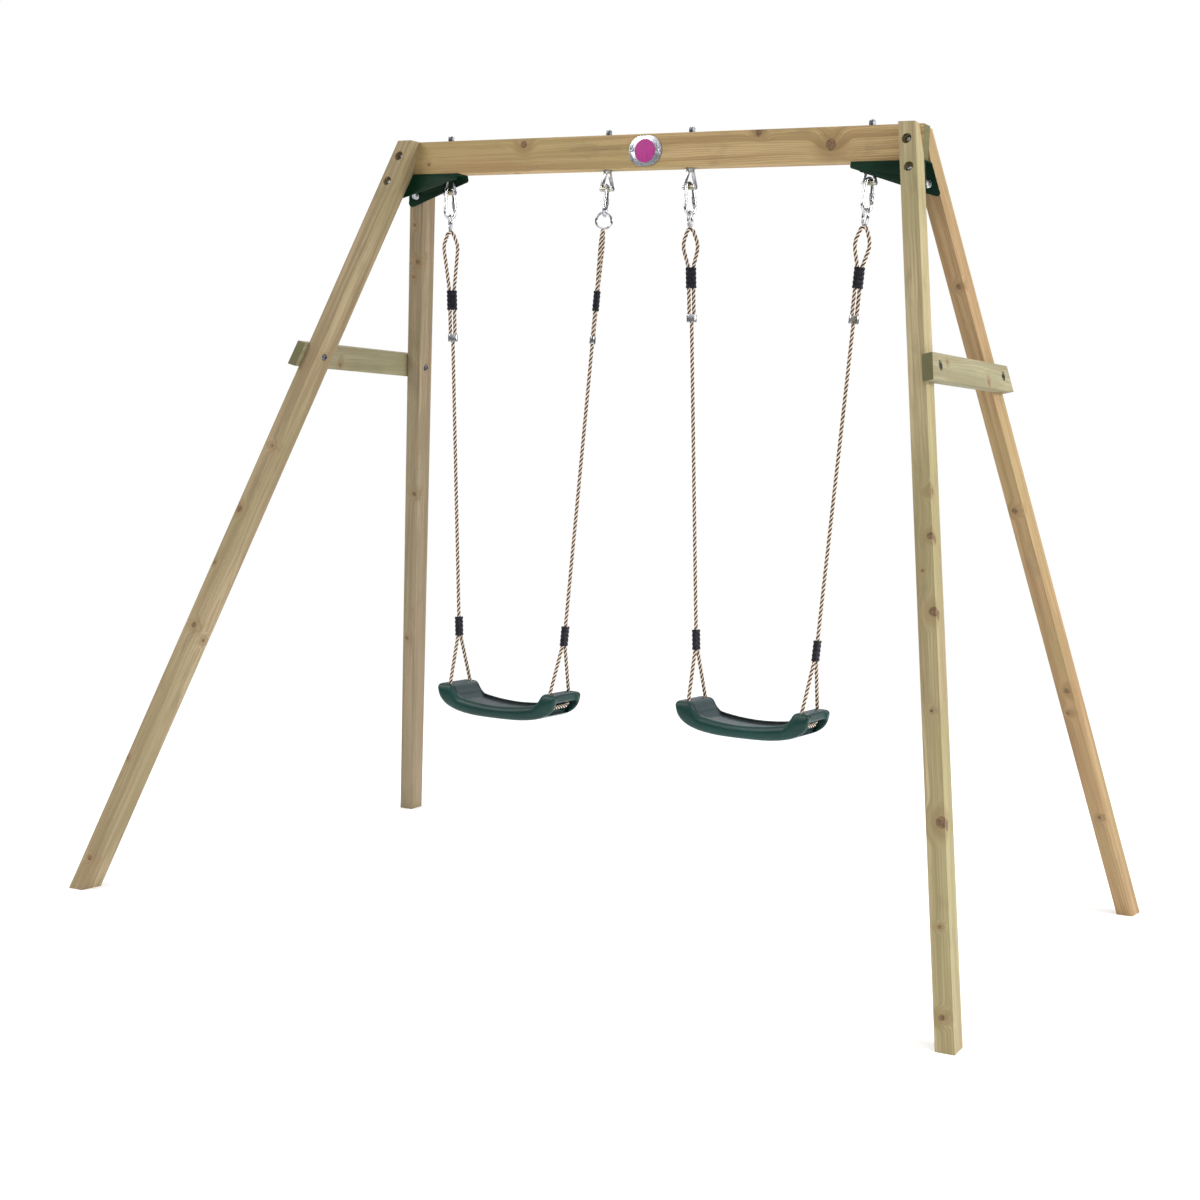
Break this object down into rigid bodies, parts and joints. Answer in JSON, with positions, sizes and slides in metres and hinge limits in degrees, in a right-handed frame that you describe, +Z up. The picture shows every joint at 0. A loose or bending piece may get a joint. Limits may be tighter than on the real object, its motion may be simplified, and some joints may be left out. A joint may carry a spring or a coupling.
{
  "type": "double swing set",
  "caption": "Timber A-frame garden swing set with a top beam, steel brackets and two rope-hung moulded seats on spring snap hooks.",
  "frame": {"origin": "on the ground, midway between the four feet", "axes": "+X along the top beam from left to right, +Z up, and the front of the frame faces -Y"},
  "size_m": [2.5404, 1.595, 2.118],
  "materials": {
    "timber": "satin",
    "green_steel": "satin",
    "zinc_steel": "satin",
    "polished_steel": "polished",
    "bush_brass": "satin",
    "badge_inlay": "gloss",
    "rope": "matte",
    "black_plastic": "matte",
    "seat_plastic": "satin"
  },
  "bodies": {
    "frame": {"beam": "timber", "leg_front_left": "timber", "leg_front_right": "timber", "leg_rear_left": "timber", "leg_rear_right": "timber", "brace_left": "timber", "brace_right": "timber", "bracket_left": "green_steel", "bracket_right": "green_steel", "top_bolts": "zinc_steel", "bracket_bolts": "zinc_steel", "brace_bolts": "timber", "frame_nuts": "zinc_steel", "washers": "zinc_steel", "hanger_left_outer": "zinc_steel", "hanger_left_inner": "zinc_steel", "hanger_right_inner": "zinc_steel", "hanger_right_outer": "zinc_steel", "hanger_pins": "zinc_steel", "hanger_bushes": "bush_brass", "hanger_nuts": "zinc_steel", "badge_plate": "zinc_steel", "badge_inlay": "badge_inlay", "badge_screws": "zinc_steel"},
    "swing_left": {"hook_left_outer": "polished_steel", "hook_left_inner": "polished_steel", "rings_left": "polished_steel", "adjusters_left": "black_plastic", "rope_clips_left": "zinc_steel", "seat_clamps_left": "black_plastic", "loop_rope_left_outer": "rope", "loop_rope_left_inner": "rope", "main_rope_left_outer": "rope", "main_rope_left_inner": "rope", "seat_rope_left_outer": "rope", "seat_rope_left_inner": "rope", "seat_left": "seat_plastic"},
    "swing_right": {"hook_right_inner": "polished_steel", "hook_right_outer": "polished_steel", "rings_right": "polished_steel", "adjusters_right": "black_plastic", "rope_clips_right": "zinc_steel", "seat_clamps_right": "black_plastic", "loop_rope_right_inner": "rope", "loop_rope_right_outer": "rope", "main_rope_right_inner": "rope", "main_rope_right_outer": "rope", "seat_rope_right_inner": "rope", "seat_rope_right_outer": "rope", "seat_right": "seat_plastic"},
    "gate_left_outer": {"gate_left_outer": "polished_steel"},
    "sleeve_left_outer": {"sleeve_left_outer": "polished_steel"},
    "gate_left_inner": {"gate_left_inner": "polished_steel"},
    "sleeve_left_inner": {"sleeve_left_inner": "polished_steel"},
    "gate_right_inner": {"gate_right_inner": "polished_steel"},
    "sleeve_right_inner": {"sleeve_right_inner": "polished_steel"},
    "gate_right_outer": {"gate_right_outer": "polished_steel"},
    "sleeve_right_outer": {"sleeve_right_outer": "polished_steel"}
  },
  "joints": [
    {"name": "swing_left_pivot", "type": "hinge", "parent": "frame", "child": "swing_left", "pos_m": [-0.3845, 0, 1.96], "axis": [1, 0, 0], "range_deg": [-60, 60]},
    {"name": "swing_right_pivot", "type": "hinge", "parent": "frame", "child": "swing_right", "pos_m": [0.3845, 0, 1.96], "axis": [1, 0, 0], "range_deg": [-60, 60]},
    {"name": "gate_left_outer_hinge", "type": "hinge", "parent": "swing_left", "child": "gate_left_outer", "pos_m": [-0.63334, 0.01539, 1.913], "axis": [-0.9377, 0.342, -0.0609], "range_deg": [-20, 0], "stiffness_Nm_per_rad": 0.05, "springref_deg": 17.19},
    {"name": "sleeve_left_outer_slide", "type": "slide", "parent": "gate_left_outer", "child": "sleeve_left_outer", "axis": [-0.0959, -0.0864, 0.9916], "range_m": [0, 0.02]},
    {"name": "gate_left_inner_hinge", "type": "hinge", "parent": "swing_left", "child": "gate_left_inner", "pos_m": [-0.13566, 0.01539, 1.913], "axis": [-0.9377, -0.342, 0.0609], "range_deg": [-20, 0], "stiffness_Nm_per_rad": 0.05, "springref_deg": 17.19},
    {"name": "sleeve_left_inner_slide", "type": "slide", "parent": "gate_left_inner", "child": "sleeve_left_inner", "axis": [0.0959, -0.0864, 0.9916], "range_m": [0, 0.02]},
    {"name": "gate_right_inner_hinge", "type": "hinge", "parent": "swing_right", "child": "gate_right_inner", "pos_m": [0.13572, 0.01539, 1.91301], "axis": [-0.9376, 0.342, -0.062], "range_deg": [-20, 0], "stiffness_Nm_per_rad": 0.05, "springref_deg": 17.19},
    {"name": "sleeve_right_inner_slide", "type": "slide", "parent": "gate_right_inner", "child": "sleeve_right_inner", "axis": [-0.0971, -0.0864, 0.9915], "range_m": [0, 0.02]},
    {"name": "gate_right_outer_hinge", "type": "hinge", "parent": "swing_right", "child": "gate_right_outer", "pos_m": [0.64446, 0.01539, 1.91227], "axis": [-0.9376, 0.342, 0.062], "range_deg": [-20, 0], "stiffness_Nm_per_rad": 0.05, "springref_deg": 17.19},
    {"name": "sleeve_right_outer_slide", "type": "slide", "parent": "gate_right_outer", "child": "sleeve_right_outer", "axis": [0.0343, -0.0864, 0.9957], "range_m": [0, 0.02]}
  ]
}
